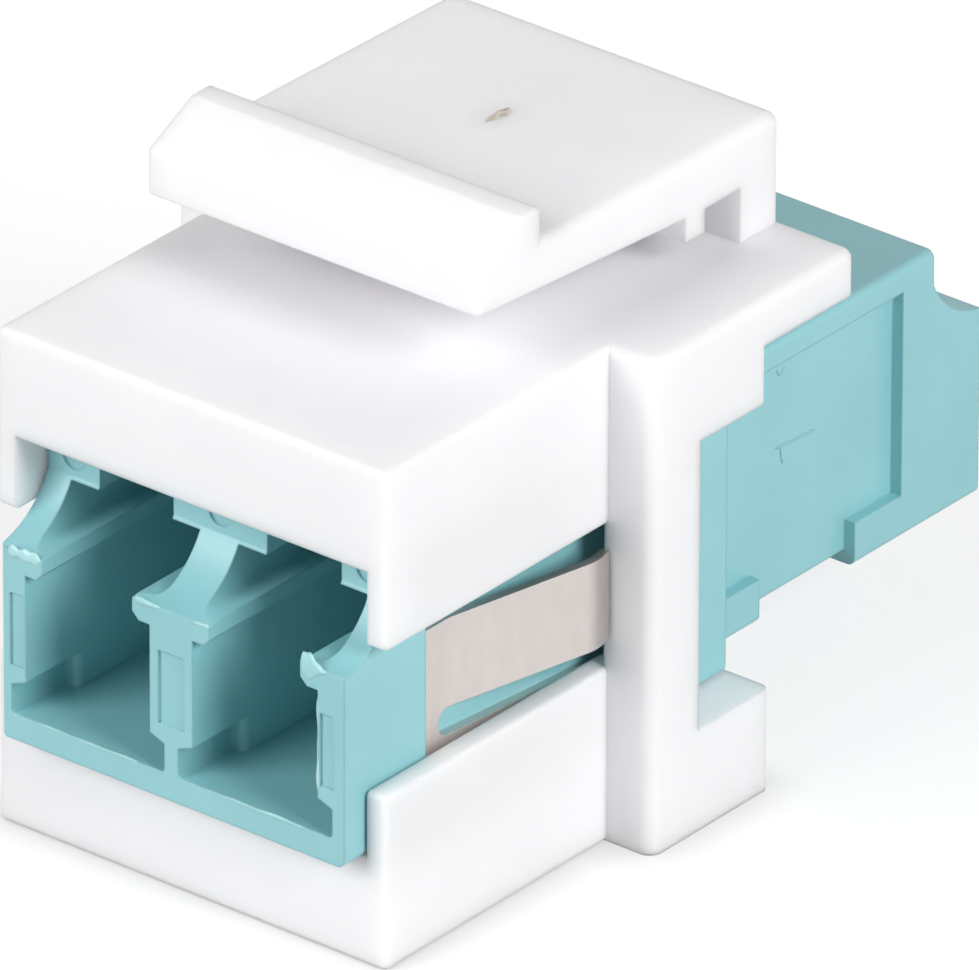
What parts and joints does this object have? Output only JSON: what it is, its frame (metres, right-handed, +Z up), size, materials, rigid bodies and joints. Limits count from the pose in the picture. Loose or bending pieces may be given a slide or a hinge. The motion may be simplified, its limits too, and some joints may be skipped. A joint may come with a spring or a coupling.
{
  "type": "lc fibre coupler",
  "caption": "Duplex fibre coupler body with latched ports at both ends, held by a folded spring clip in a white keystone holder with a sprung latch on top.",
  "frame": {"origin": "middle of the part's length and width, on the plane of the holder's flat bottom", "axes": "-Y out of the front ports, which the panel shows; +Y out of the rear ports; +Z up to the latch; +X to the right looking at the rear"},
  "size_m": [0.0178, 0.0296, 0.0211],
  "materials": {
    "holder_plastic": "satin",
    "adapter_plastic": "satin",
    "clip_steel": "satin",
    "sleeve_ceramic": "polished"
  },
  "bodies": {
    "root": {"keystone_holder": "holder_plastic", "adapter_front_half": "adapter_plastic", "adapter_rear_half": "adapter_plastic", "spring_clip": "clip_steel", "alignment_sleeve_left": "sleeve_ceramic", "alignment_sleeve_right": "sleeve_ceramic"}
  },
  "joints": []
}
